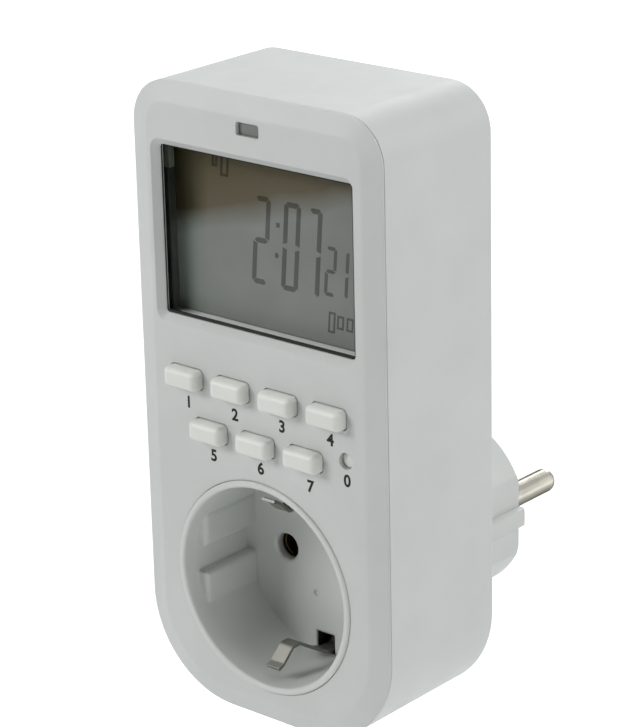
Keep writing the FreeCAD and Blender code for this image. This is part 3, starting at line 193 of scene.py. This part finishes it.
def metal(name, colour, roughness, stretch, edge=0.12, rim=1.0, painted_reflection_bands=0.0):
    """Drawn or rolled metal: fine lines along one axis, and slight tarnish.

    rim below 1 darkens the gloss where the surface turns away; the last argument adds wider
    dark bands along the drawn direction, painted reflection of darker surroundings.
    """
    s = Shader(name)
    lines = s.noise(0.12, 3.0, stretch)
    tarnish = s.noise(3.0, 3.0)
    tone = s.blend(s.spread(tarnish, 0.0, 1.0), tinted(colour, 0.86), tinted(colour, 1.05))
    # painted reflection: dark bands along the drawn direction
    if painted_reflection_bands:
        bands = s.spread(s.noise(1.7, 1.0, stretch), 0.0, painted_reflection_bands, 0.35, 0.6)
        tone = s.blend(bands, tone, tinted(colour, 0.35))
    normal = s.bump(lines, 0.006, s.soft_edges(edge), 0.5)
    rough = s.spread(tarnish, roughness - 0.05, roughness + 0.08)
    return s.finish(s.surface(Base_Color=tone, Metallic=1.0, Roughness=rough, Normal=normal,
                              Specular_Tint=(rim, rim, rim, 1)))


def clear_window():
    """Clear polished plastic that lets the light reach the display and the camera see it.

    The camera's rays pass straight through, since its faint gloss would show as grain.
    """
    s = Shader("clear_window")
    haze = s.spread(s.noise(9.0, 2.0), 0.01, 0.03)
    wave = s.bump(s.noise(14.0, 1.0), 0.01, None, 0.15)
    plate = s.surface(Base_Color=(0.93, 0.95, 0.94, 1), Roughness=haze, Normal=wave, IOR=1.09,
                      Transmission_Weight=1.0)
    through = s.add("BsdfTransparent", inputs={"Color": (0.964, 0.975, 0.97, 1)})
    rays = s.add("LightPath")
    passing = s.maths("MAXIMUM", rays.outputs["Is Shadow Ray"], rays.outputs["Is Diffuse Ray"])
    passing = s.maths("MAXIMUM", passing, rays.outputs["Is Camera Ray"])
    mix = s.add("MixShader", inputs={0: passing, 1: plate.outputs[0], 2: through.outputs[0]})
    return s.finish(mix)


def liquid_crystal_painted_shade(name, depth):
    """Grey-green liquid crystal with painted shade: a brown painted shadow over its top, grey
    painted darker towards the top, and painted shade at its left edge.

    depth darkens it: 1 is the bare glass and less is a segment that is switched on.
    """
    s = Shader(name)
    x, _, z = s.axes()
    clouds = s.noise(9.0, 2.0)
    uneven = s.spread(clouds, 0.0, 1.0)
    rise = s.maths("ADD", z, s.maths("MULTIPLY", x, -0.29))     # height along a slope
    # painted shade: the grey is a tenth lighter low down and darkens towards the top
    painted_shade_slope = s.spread(rise, 1.10, 1.0, 0.0500, 0.0640)
    grey = s.blend(uneven, tinted((0.254, 0.260, 0.248), depth),
                   tinted((0.281, 0.281, 0.271), depth))
    grey = s.add("VectorMath", {"operation": "SCALE"}, {0: grey, "Scale": painted_shade_slope}).outputs[0]
    # painted shadow: above a wavy slanted edge the glass turns brown, darkest at the top
    edge = s.maths("ADD", rise, s.maths("MULTIPLY", uneven, 0.0012))
    upper = s.spread(edge, 0.0, 1.0, 0.0706, 0.0756)
    painted_shadow_deepening = s.spread(rise, 0.0, 1.0, 0.0750, 0.0830)
    painted_shadow_brown = s.blend(painted_shadow_deepening, tinted((0.138, 0.114, 0.080), depth),
                    tinted((0.098, 0.080, 0.048), depth))
    # painted shade: darker towards the left edge, both below and within the painted top shadow
    painted_left_shade_low = s.spread(x, 1.0, 0.0, -0.0198, -0.0154)
    painted_left_shade_high = s.spread(x, 1.0, 0.0, -0.0194, -0.0150)
    lower = s.blend(painted_left_shade_low, grey, (0.205, 0.225, 0.203))
    above = s.blend(painted_left_shade_high, painted_shadow_brown, (0.041, 0.034, 0.018))
    shade = s.blend(upper, lower, above)
    normal = s.bump(s.noise(3.0, 1.0), 0.004, None, 0.3)
    rough = s.spread(clouds, 0.38, 0.48)
    return s.finish(s.surface(Base_Color=shade, Roughness=rough, Normal=normal,
                              Specular_IOR_Level=0.06))


def printing_ink():
    """Pad printed black with a slightly broken film."""
    s = Shader("printing_ink")
    film = s.noise(0.4, 3.0)
    tone = s.blend(s.spread(film, 0.0, 1.0), (0.006, 0.006, 0.006), (0.016, 0.016, 0.016))
    return s.finish(s.surface(Base_Color=tone, Roughness=s.spread(film, 0.45, 0.6),
                              Specular_IOR_Level=0.2))


def display_holder():
    """Black moulding round the display, with painted light making the tab at its upper left
    corner lighter.

    Painted light makes the lower part of its inner wall, behind the window, a little lighter as
    well.
    """
    s = Shader("frame_plastic")
    x, y, z = s.axes()
    # painted light: the tab is painted lighter where light falls on it
    side = s.spread(x, 1.0, 0.0, -0.02262, -0.02258)
    tall = s.spread(z, 0.0, 1.0, 0.07685, 0.07690)
    tab = s.maths("MULTIPLY", side, tall)   # 1 on the tab, left of and above those places
    clouds = s.spread(s.noise(6.0, 3.0), 0.0, 1.0)
    black = s.blend(clouds, (0.022, 0.024, 0.020), (0.038, 0.040, 0.033))
    # painted light: the lower part of the inner wall is painted lighter
    wall = s.spread(y, 0.0, 1.0, -0.0546, -0.0544)
    under = s.spread(z, 1.0, 0.0, 0.0655, 0.0680)
    black = s.blend(s.maths("MULTIPLY", wall, under), black, (0.060, 0.066, 0.058))
    tone = s.blend(tab, black, (0.123, 0.132, 0.104))
    normal = s.bump(s.noise(0.35, 3.0), 0.012, s.soft_edges(0.18), 0.5)
    rough = s.spread(s.noise(5.0), 0.5, 0.62)
    return s.finish(s.surface(Base_Color=tone, Roughness=rough, Normal=normal,
                              Specular_IOR_Level=0.25))


def socket_moulding():
    """The well's satin plastic, thin inside the two earth openings, where it is painted black
    as painted shade.
    """
    s = Shader("socket_plastic")
    x, y, _ = s.axes()
    middle = s.spread(s.maths("ABSOLUTE", x), 1.0, 0.0, 0.0026, 0.0028)
    painted_shade_depth = s.spread(y, 0.0, 1.0, -0.0401, -0.0399)
    tone = s.tones((0.635, 0.655, 0.635), 0.03, s.noise(17.0, 3.0))
    # painted shade: black deep in the earth openings, where shade falls
    tone = s.blend(s.maths("MULTIPLY", middle, painted_shade_depth), tone, (0.02, 0.02, 0.02))
    normal = s.bump(s.noise(0.4, 3.0), 0.006, s.soft_edges(0.9), 0.5)
    rough = s.spread(s.noise(5.0, 2.0), 0.31, 0.42)
    return s.finish(s.surface(Base_Color=tone, Roughness=rough, Normal=normal, IOR=1.5))


def ledge_plastic():
    """Light moulding under the display, with painted shadow darkening it where it runs out at
    its left end.
    """
    s = Shader("ledge_plastic")
    x = s.axes()[0]
    clouds = s.spread(s.noise(4.0, 2.0), 0.0, 0.06)
    # painted shadow: dark at the left end, light from a few millimetres further right
    along = s.maths("ADD", s.spread(x, 0.0, 1.0, -0.0215, -0.0165), clouds, True)
    tone = s.blend(along, (0.12, 0.125, 0.12), (0.87, 0.88, 0.87))
    rough = s.spread(s.noise(2.0), 0.38, 0.5)
    return s.finish(s.surface(Base_Color=tone, Roughness=rough,
                              Normal=s.bump(s.noise(0.4, 2.0), 0.008, None, 0.5)))


def board_mask():
    """Green solder mask with copper tracks showing through as lighter lines."""
    s = Shader("board_mask")
    where = s.place()
    turned = s.add("Mapping", inputs={"Vector": where, "Rotation": (math.pi / 2, 0, 0)})
    tracks = s.add("TexBrick", {"offset": 0.37, "squash": 1.6}, {
        "Vector": turned.outputs["Vector"], "Scale": 1 / (2.4 * MM), "Mortar Size": 0.06,
        "Mortar Smooth": 0.2, "Brick Width": 1.7, "Row Height": 0.55})
    line = tracks.outputs["Fac"]
    clouds = s.noise(8.0, 2.0)
    base = s.blend(s.spread(clouds, 0.0, 1.0), (0.018, 0.115, 0.05), (0.026, 0.15, 0.066))
    tone = s.blend(line, base, (0.05, 0.25, 0.10))
    normal = s.bump(line, 0.04, None, 0.6)
    rough = s.spread(clouds, 0.22, 0.34)
    return s.finish(s.surface(Base_Color=tone, Roughness=rough, Normal=normal))


def striped(name, first, second, pitch, axis, roughness):
    """Fine bands across one axis, as wound wire or layered rubber has."""
    s = Shader(name)
    bands = s.add("TexWave", {"wave_type": "BANDS", "bands_direction": axis}, {
        "Vector": s.place(), "Scale": math.pi / 10 / (pitch * MM), "Distortion": 0.4,
        "Detail": 1.0})
    level = bands.outputs["Fac"]
    tone = s.blend(level, first, second)
    normal = s.bump(level, pitch / 4, None, 0.6)
    rough = s.spread(s.noise(2.0), roughness - 0.05, roughness + 0.08)
    return s.finish(s.surface(Base_Color=tone, Roughness=rough, Normal=normal))


def milky(name, colour):
    """Milky light guide, unlit: soft body, smooth skin."""
    s = Shader(name)
    clouds = s.noise(3.0, 2.0)
    tone = s.tones(colour, 0.05, clouds)
    rough = s.spread(clouds, 0.28, 0.38)
    return s.finish(s.surface(Base_Color=tone, Roughness=rough, Normal=s.soft_edges(0.12)))


def speckled(name, colour, dark):
    """Fired ceramic with small specks."""
    s = Shader(name)
    specks = s.spread(s.noise(0.35, 2.0), 0.0, 1.0, 0.55, 0.7)
    tone = s.blend(specks, colour, dark)
    rough = s.spread(s.noise(1.2), 0.45, 0.6)
    return s.finish(s.surface(Base_Color=tone, Roughness=rough,
                              Normal=s.bump(specks, 0.02, s.soft_edges(0.1), 0.4)))


FINISHES = {
    "housing": moulded("housing", (0.595, 0.612, 0.598)),
    "keys": moulded("keys", (0.755, 0.77, 0.725), 0.42, 0.3, 0.006, 0.02, 0.3),
    "socket_plastic": socket_moulding(),
    "clear_plastic": clear_window(),
    "light_guide": milky("light_guide", (0.15, 0.155, 0.15)),
    "frame_plastic": display_holder(),
    "display": liquid_crystal_painted_shade("display", 1.0),
    "zebra": striped("zebra", (0.05, 0.05, 0.055), (0.3, 0.3, 0.31), 0.2, "X", 0.6),
    "circuit_board": board_mask(),
    "black_plastic": moulded("black_plastic", (0.022, 0.022, 0.024), 0.42),
    "plunger_plastic": moulded("plunger_plastic", (0.3, 0.05, 0.03), 0.4),
    "carrier_plastic": moulded("carrier_plastic", (0.70, 0.68, 0.60), 0.45),
    "brass": metal("brass", (0.20, 0.15, 0.07), 0.38, (0.1, 1, 1)),
    "nickel": metal("nickel", (0.47, 0.46, 0.40), 0.3, (1, 0.08, 1)),
    "steel": metal("steel", (0.60, 0.61, 0.62), 0.3, (1, 0.1, 1)),
    "relay_shell": glossy_moulded("relay_shell", (0.02, 0.05, 0.2)),
    "winding": striped("winding", (0.28, 0.08, 0.03), (0.6, 0.22, 0.08), 0.25, "Z", 0.3),
    "film_case": glossy_moulded("film_case", (0.62, 0.38, 0.03)),
    "disc_coat": glossy_moulded("disc_coat", (0.02, 0.07, 0.26), 0.35),
    "ceramic": speckled("ceramic", (0.62, 0.54, 0.38), (0.4, 0.32, 0.2)),
}

for cad_object in NODES.values():
    for held in cad_object.material_slots:
        held.material = FINISHES[held.material.name]

clip_metal = metal("clip_metal", (0.25, 0.25, 0.225), 0.56, (1, 0.08, 1), 0.2, 0.6)
pin_metal = metal("pin_metal", (0.67, 0.65, 0.57), 0.22, (1, 0.03, 1), 0.12, 0.1, 0.6)
for node, own in (("earth_strip_upper", clip_metal), ("earth_strip_lower", clip_metal),
                  ("plug_pin_neutral", pin_metal), ("plug_pin_live", pin_metal)):
    NODES[node].material_slots[0].material = own


# ---------------------------------------------------------------- pieces made here

def add_piece(name, shape, material):
    """Links a bmesh, in millimetres, as a piece that rides on the timer's body."""
    bmesh.ops.scale(shape, vec=(MM, MM, MM), verts=shape.verts)
    bmesh.ops.recalc_face_normals(shape, faces=shape.faces)
    mesh = bpy.data.meshes.new(name)
    shape.to_mesh(mesh)
    shape.free()
    mesh.materials.append(material)
    piece = bpy.data.objects.new(name, mesh)
    bpy.context.scene.collection.objects.link(piece)
    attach(piece, "timer")


def plate(shape, outline, front, back):
    """A flat plate in a bmesh: an outline of (x, z) points between two y places."""
    near = [shape.verts.new((x, front, z)) for x, z in outline]
    far = [shape.verts.new((x, back, z)) for x, z in outline]
    shape.faces.new(near)
    shape.faces.new(far[::-1])
    for i in range(len(outline)):
        j = (i + 1) % len(outline)
        shape.faces.new((near[i], far[i], far[j], near[j]))


FILM = 0.03                                 # thickness of what is drawn on glass
SLANT = 0.085                               # lean of the digits
SEGMENTS = {"0": "abcdef", "1": "bc", "2": "abged", "7": "abc"}


def segment_outline(letter, width, height, stroke):
    """The outline of one segment of an upright digit whose lower left corner is (0, 0)."""
    half, s, cut = height / 2, stroke, stroke * 0.8
    mitre, middle = 0.05, 0.3
    if letter in "ad":
        top = [(cut / 2 + mitre, height - cut / 2), (cut, height), (width - cut, height),
               (width - cut / 2 - mitre, height - cut / 2), (width - s - mitre, height - s),
               (s + mitre, height - s)]
        return top if letter == "a" else [(x, height - z) for x, z in top]
    if letter == "g":
        return [(s, half + s / 2), (s * 0.25, half), (s, half - s / 2),
                (width - s, half - s / 2), (width - s * 0.25, half), (width - s, half + s / 2)]
    side = [(0, half + middle), (0, height - cut), (cut / 2, height - cut / 2 - mitre),
            (s, height - s - mitre), (s, half + middle + s * 0.3)]
    if letter in "bc":
        side = [(width - x, z) for x, z in side]
    if letter in "ce":
        side = [(x, height - z) for x, z in side]
    return side


def add_digit(shape, sign, corner, width, height, stroke):
    """A seven-segment digit, leaning to the right, with its lower left corner at (x, z)."""
    for letter in SEGMENTS[sign]:
        outline = segment_outline(letter, width, height, stroke)
        leaning = [(corner[0] + x + SLANT * z, corner[1] + z) for x, z in outline]
        plate(shape, leaning, DISPLAY - FILM, DISPLAY)


def add_display():
    """The time on the display: hours, minutes and, smaller, seconds."""
    shape = bmesh.new()
    for sign, corner, width, height, stroke in (
            ("2", (-4.95, 57.85), 3.8, 16.8, 1.0),
            ("0", (2.1, 57.85), 3.95, 16.8, 1.0),
            ("7", (7.75, 57.6), 3.3, 16.9, 1.0),
            ("2", (12.3, 58.75), 2.6, 9.35, 0.7),
            ("1", (15.15, 58.75), 2.6, 9.35, 0.7)):
        add_digit(shape, sign, corner, width, height, stroke)
    for x, z in ((0.85, 63.6), (1.35, 69.4)):
        plate(shape, [(x, z), (x + 0.8, z), (x + 0.87, z + 0.9), (x + 0.07, z + 0.9)],
              DISPLAY - FILM, DISPLAY)
    add_piece("display_digits", shape, liquid_crystal_painted_shade("display_digit", 0.46))


def add_mark(shape, corner, width, height, line):
    """A small leaning rectangle drawn as a line, its lower left corner at (x, z)."""
    x0, z0 = corner
    bars = (((0, 0), (width, line)), ((0, height - line), (width, height)),
            ((0, line), (line, height - line)), ((width - line, line), (width, height - line)))
    for (ax, az), (bx, bz) in bars:
        outline = [(ax, az), (bx, az), (bx, bz), (ax, bz)]
        plate(shape, [(x0 + x + SLANT * z, z0 + z) for x, z in outline],
              DISPLAY - FILM, DISPLAY)


def add_marks():
    """Plain marks at the edges of the display that are switched off."""
    shape = bmesh.new()
    add_mark(shape, (-13.95, 78.3), 1.4, 3.4, 0.55)
    add_mark(shape, (-11.95, 76.8), 2.0, 4.6, 0.55)
    for x, z, height in ((13.05, 51.9, 4.0), (15.15, 52.9, 2.6), (17.35, 52.9, 2.6)):
        add_mark(shape, (x, z), 1.6, height, 0.4)
    add_piece("display_marks", shape, liquid_crystal_painted_shade("display_mark", 0.45))


def add_window_border():
    """The thin black border printed on the window, wider at its lower edge, where it also
    serves as painted shadow for the dark gap under the window.
    """
    low, high = span("lcd_window")
    front = low[1]
    step = 1.5                              # the flange behind the cover is that much wider
    left, right = low[0] + step, high[0] - step
    bottom, top = low[2] + step, high[2] - step
    side, edge, foot = 0.3, 0.12, 0.5       # widths at the left, at top and right, and below
    shape = bmesh.new()
    # the wide foot below is painted shadow for the dark gap under the window, besides the print
    for (ax, az), (bx, bz) in (
            ((left, bottom), (right, bottom + foot)), ((left, top - edge), (right, top)),
            ((left, bottom + foot), (left + side, top - edge)),
            ((right - edge, bottom + foot), (right, top - edge))):
        plate(shape, [(ax, az), (bx, az), (bx, bz), (ax, bz)], front - FILM, front)
    add_piece("window_border", shape, printing_ink())


def add_ledge():
    """A light strip under the display, and between the two a black strip that is painted
    shadow.
    """
    step = 2.7                              # from the frame's foot up to its inner wall
    ledge, shadow_strip_height, gap = 0.12, 0.08, 0.08    # their heights, and the gap left to the glass
    share = 0.8                             # of the way to the glass that the ledge takes
    front, foot = span("lcd_frame")[0][1], span("lcd_frame")[0][2] + step
    left, right = span("lcd_contact_strips")[0][0], span("lcd_contact_strips")[1][0]
    split = front + share * (DISPLAY - front)
    for name, near, far, height, material, slot in (
            ("display_ledge", front, split, ledge, ledge_plastic(), "frame_plastic"),
            # painted shadow: a black strip between the ledge and the display
            ("display_shadow_strip", split, DISPLAY - gap, shadow_strip_height, FINISHES["black_plastic"],
             "black_plastic")):
        top = foot + height
        shape = bmesh.new()
        corners = ((near, foot), (near, top), (far, top), (far, foot))
        ends = [[shape.verts.new((x, y, z)) for y, z in corners] for x in (left, right)]
        shape.faces.new(ends[0])
        shape.faces.new(ends[1][::-1])
        for i in range(4):
            j = (i + 1) % 4
            shape.faces.new((ends[0][i], ends[1][i], ends[1][j], ends[0][j]))
        add_piece(name, shape, material)


NUMERALS = {                                # centres (x, z) on the front face
    "1": (-17.28, 33.17), "2": (-5.71, 33.17), "3": (5.79, 33.49), "4": (17.30, 33.61),
    "5": (-11.35, 23.85), "6": (0.28, 24.0), "7": (12.3, 23.4), "0": (21.08, 26.6),
}
NUMERAL_SIZE = 3.2
NUMERAL_BOLDER = 0.1                        # by which each stroke's edges move out
NUMERAL_FILM = 0.008                        # half the print's thickness


def add_numeral(sign, centre, ink):
    """A printed numeral of the built-in font, made bolder, on the front face."""
    curve = bpy.data.curves.new("numeral_" + sign, "FONT")
    curve.body = sign
    curve.size = NUMERAL_SIZE * MM
    curve.offset = NUMERAL_BOLDER * MM
    curve.extrude = NUMERAL_FILM * MM
    curve.align_x = "CENTER"
    curve.align_y = "CENTER"
    text = bpy.data.objects.new("numeral_" + sign, curve)
    text.location = Vector((centre[0], FRONT - NUMERAL_FILM, centre[1])) * MM
    text.rotation_euler = (math.pi / 2, 0, 0)
    bpy.context.scene.collection.objects.link(text)
    curve.materials.append(ink)
    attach(text, "timer")


def add_numerals():
    """One numeral below each key, and one below the reset button."""
    ink = printing_ink()
    for sign, centre in NUMERALS.items():
        add_numeral(sign, centre, ink)


add_display()
add_marks()
add_window_border()
add_ledge()
add_numerals()


# ---------------------------------------------------------------- floor, light and camera

FLOOR_DROP = 0.045                          # floor below the lowest point of the timer
FLOOR_REACH = 6.0                           # from the middle to each side
CENTRE = Vector((0.0, -0.0194, 0.0333))     # where the lamps point
AMBIENT = 0.07                              # even light from all round
LAMP_SIZE = 0.5
LAMP_DISTANCE = 1.2
WHITE = (1.0, 1.0, 1.0)
LAMPS = (                                   # name, direction, level and colour
    ("key_light", (-0.55, -0.7, 0.47), 0.51, WHITE),
    ("rim_light", (0.8, 0.3, 0.5), 0.35, WHITE),
    ("back_light", (-0.35, 0.85, 0.3), 0.22, WHITE),
    ("right_light", (0.95, -0.25, 0.1), 0.16, WHITE),
    ("top_light", (0.0, 0.0, 1.0), 0.40, (0.955, 1.0, 0.995)),
)
CAMERA_TURN = (40.909, 19.573, -1.357)      # azimuth, elevation and roll, in degrees
CAMERA_PLACE = (0.336177, -0.428140, 0.222041)
FOCAL_LENGTH = 2924.11                      # in pixels of the photograph
LONG_SIDE = 727.0                           # the photograph's, in pixels
SENSOR = 36.0                               # millimetres for that side


def add_floor():
    """A wide pale floor, seen as white away from the timer by camera, gloss and glass."""
    s = Shader("floor")
    grain = s.noise(2.5, 3.0)
    away = s.add("VectorMath", {"operation": "LENGTH"}, {0: s.place()}).outputs["Value"]
    tone = s.blend(s.spread(grain, 0.0, 1.0), (0.86, 0.86, 0.86), (0.9, 0.9, 0.9))
    matt = s.surface(Base_Color=tone, Roughness=0.9, Specular_IOR_Level=0.1,
                     Normal=s.bump(grain, 0.05, None, 0.3))
    glow = s.add("Emission", inputs={"Color": (1, 1, 1, 1),
                                     "Strength": s.spread(away, 0.4, 0.9, 0.25, 1.0)})
    lit = s.add("AddShader", inputs={0: matt.outputs[0], 1: glow.outputs[0]})
    seen = seen_white(s)
    mix = s.add("MixShader", inputs={0: seen, 1: matt.outputs[0], 2: lit.outputs[0]})
    low = cad_box[0][2] - FLOOR_DROP
    shape = bmesh.new()
    corners = ((-1, -1), (1, -1), (1, 1), (-1, 1))
    shape.faces.new([shape.verts.new((x * FLOOR_REACH, y * FLOOR_REACH, low))
                     for x, y in corners])
    mesh = bpy.data.meshes.new("floor")
    shape.to_mesh(mesh)
    shape.free()
    mesh.materials.append(s.finish(mix))
    floor = bpy.data.objects.new("floor", mesh)
    bpy.context.scene.collection.objects.link(floor)


def seen_white(s):
    """1 for rays that show the surroundings directly: camera, gloss and clear plastic."""
    rays = s.add("LightPath")
    seen = s.maths("MAXIMUM", rays.outputs["Is Camera Ray"], rays.outputs["Is Glossy Ray"])
    return s.maths("MAXIMUM", seen, rays.outputs["Is Transmission Ray"])


def add_world():
    """Even light from all round, and white where it is seen."""
    s = Shader("studio", bpy.data.worlds.new("studio"))
    strength = s.spread(seen_white(s), AMBIENT, 1.0, 0.0, 1.0)
    bpy.context.scene.world = s.finish(
        s.add("Background", inputs={"Color": (1, 1, 1, 1), "Strength": strength}))


def add_lamp(name, direction, level, colour):
    """A square soft light; level is what a facing white surface shows."""
    towards = Vector(direction).normalized()
    data = bpy.data.lights.new(name, "AREA")
    data.shape = "SQUARE"
    data.size = LAMP_SIZE
    data.color = colour
    data.energy = math.pi ** 2 * level * LAMP_DISTANCE ** 2
    lamp = bpy.data.objects.new(name, data)
    lamp.location = CENTRE + towards * LAMP_DISTANCE
    lamp.rotation_euler = towards.to_track_quat("Z", "Y").to_euler()
    bpy.context.scene.collection.objects.link(lamp)


def add_camera():
    """The photograph's camera, worked out from the timer's edges."""
    azimuth, elevation, roll = (math.radians(a) for a in CAMERA_TURN)
    back = Vector((math.sin(azimuth) * math.cos(elevation),
                   -math.cos(azimuth) * math.cos(elevation), math.sin(elevation)))
    level = back.cross(Vector((0, 0, 1))).normalized() * -1
    upright = back.cross(level)
    right = level * math.cos(roll) + upright * math.sin(roll)
    up = upright * math.cos(roll) - level * math.sin(roll)
    data = bpy.data.cameras.new("camera")
    data.sensor_width = SENSOR
    data.sensor_fit = "AUTO"
    data.lens = FOCAL_LENGTH * SENSOR / LONG_SIDE
    data.clip_start = 0.01
    data.clip_end = 50.0
    camera = bpy.data.objects.new("camera", data)
    turn = Matrix((right, up, back)).transposed().to_4x4()
    camera.matrix_world = Matrix.Translation(CAMERA_PLACE) @ turn
    bpy.context.scene.collection.objects.link(camera)
    bpy.context.scene.camera = camera


add_floor()
add_world()
for lamp_name, lamp_direction, lamp_level, lamp_colour in LAMPS:
    add_lamp(lamp_name, lamp_direction, lamp_level, lamp_colour)
add_camera()

bpy.context.scene.view_settings.view_transform = "Standard"
